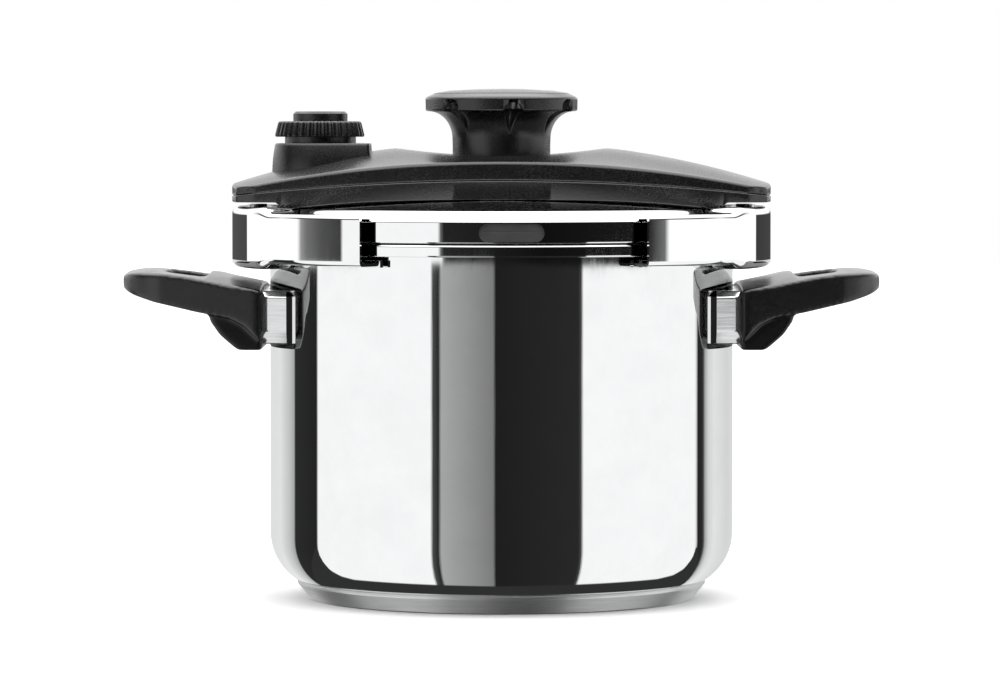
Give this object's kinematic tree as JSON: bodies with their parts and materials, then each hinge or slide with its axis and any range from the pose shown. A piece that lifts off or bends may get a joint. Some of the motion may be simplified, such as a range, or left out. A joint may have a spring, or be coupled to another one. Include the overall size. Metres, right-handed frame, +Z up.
{
  "type": "pressure cooker",
  "caption": "Stovetop pressure cooker: steel pot, lid clamped by two sliding jaws under a black cover, turning lid knob, regulator valve, side handles with finger holes",
  "frame": {"origin": "centre of the base's underside, on the hob", "axes": "+Z up; X runs through the two handles and the two jaws, +X to the safety valve's side; the window in the lid faces -Y"},
  "size_m": [0.361, 0.2352, 0.244],
  "materials": {
    "aluminium": "bare aluminium",
    "black_grain": "black phenolic moulding with a fine spark-eroded grain",
    "black_satin": "black phenolic moulding, smooth satin",
    "brass": "turned brass",
    "grey_rubber": "dark grey silicone seal",
    "red_plastic": "red indicator tip, satin",
    "steel_brushed": "fine-ground stainless steel",
    "steel_polished": "mirror-polished stainless steel with faint cleaning marks"
  },
  "bodies": {
    "pot": {"pot_body": "steel_polished", "base_core": "aluminium", "base_cap": "steel_polished", "left_bracket": "steel_polished", "right_bracket": "steel_polished", "left_flame_guard": "steel_polished", "right_flame_guard": "steel_polished", "left_handle": "black_grain", "right_handle": "black_grain", "left_handle_screw": "steel_brushed", "right_handle_screw": "steel_brushed"},
    "lid": {"lid_shell": "steel_polished", "lid_gasket": "grey_rubber", "guide_rail": "steel_brushed", "centre_post": "steel_brushed", "post_nut": "steel_brushed", "shoulder_screw": "steel_brushed", "lower_cover": "black_grain", "upper_cover": "black_grain", "cover_screws": "steel_brushed", "valve_nozzle": "brass", "valve_seal": "grey_rubber", "valve_nut": "brass", "safety_body": "brass", "safety_nut": "brass", "safety_spring": "steel_brushed", "indicator_bush": "steel_brushed", "indicator_nut": "brass", "indicator_spring": "steel_brushed", "valve_spring": "steel_brushed"},
    "knob": {"knob": "black_grain", "knob_cap": "black_satin", "spindle": "steel_brushed", "cam_disc": "steel_brushed"},
    "left_jaw": {"left_jaw": "steel_polished", "left_arm": "steel_brushed", "left_rivets": "steel_brushed", "left_cam_pin": "steel_brushed"},
    "right_jaw": {"right_jaw": "steel_polished", "right_arm": "steel_brushed", "right_rivets": "steel_brushed", "right_cam_pin": "steel_brushed"},
    "regulator": {"regulator_knob": "black_satin", "regulator_cap": "black_satin"},
    "valve_cone": {"valve_cone": "steel_brushed"},
    "safety_poppet": {"safety_poppet": "steel_brushed"},
    "indicator": {"indicator_pin": "red_plastic", "indicator_seal": "grey_rubber"}
  },
  "joints": [
    {"name": "lid_lift", "type": "slide", "parent": "pot", "child": "lid", "axis": [0, 0, 1], "range_m": [0, 0.25]},
    {"name": "knob_turn", "type": "hinge", "parent": "lid", "child": "knob", "pos_m": [0, 0, 0.2], "axis": [0, 0, 1], "range_deg": [0, 110]},
    {"name": "left_jaw_slide", "type": "slide", "parent": "lid", "child": "left_jaw", "axis": [-1, 0, 0], "range_m": [0, 0.014]},
    {"name": "right_jaw_slide", "type": "slide", "parent": "lid", "child": "right_jaw", "axis": [1, 0, 0], "range_m": [0, 0.014]},
    {"name": "regulator_turn", "type": "hinge", "parent": "lid", "child": "regulator", "pos_m": [-0.0868, 0, 0.22], "axis": [0, 0, 1], "range_deg": [0, 120]},
    {"name": "valve_cone_lift", "type": "slide", "parent": "lid", "child": "valve_cone", "axis": [0, 0, 1], "range_m": [0, 0.0015], "stiffness_N_per_m": 900, "springref_m": -0.004, "deforming": ["valve_spring"]},
    {"name": "safety_lift", "type": "slide", "parent": "lid", "child": "safety_poppet", "axis": [0, 0, 1], "range_m": [0, 0.0015], "stiffness_N_per_m": 3000, "springref_m": -0.003, "deforming": ["safety_spring"]},
    {"name": "indicator_rise", "type": "slide", "parent": "lid", "child": "indicator", "axis": [0, 0, 1], "range_m": [0, 0.0035], "stiffness_N_per_m": 60, "springref_m": -0.001, "deforming": ["indicator_spring"]}
  ],
  "couplings": [
    {"joint": "left_jaw_slide", "follows": "knob_turn", "m_per_rad": 0.00729},
    {"joint": "right_jaw_slide", "follows": "knob_turn", "m_per_rad": 0.00729}
  ]
}
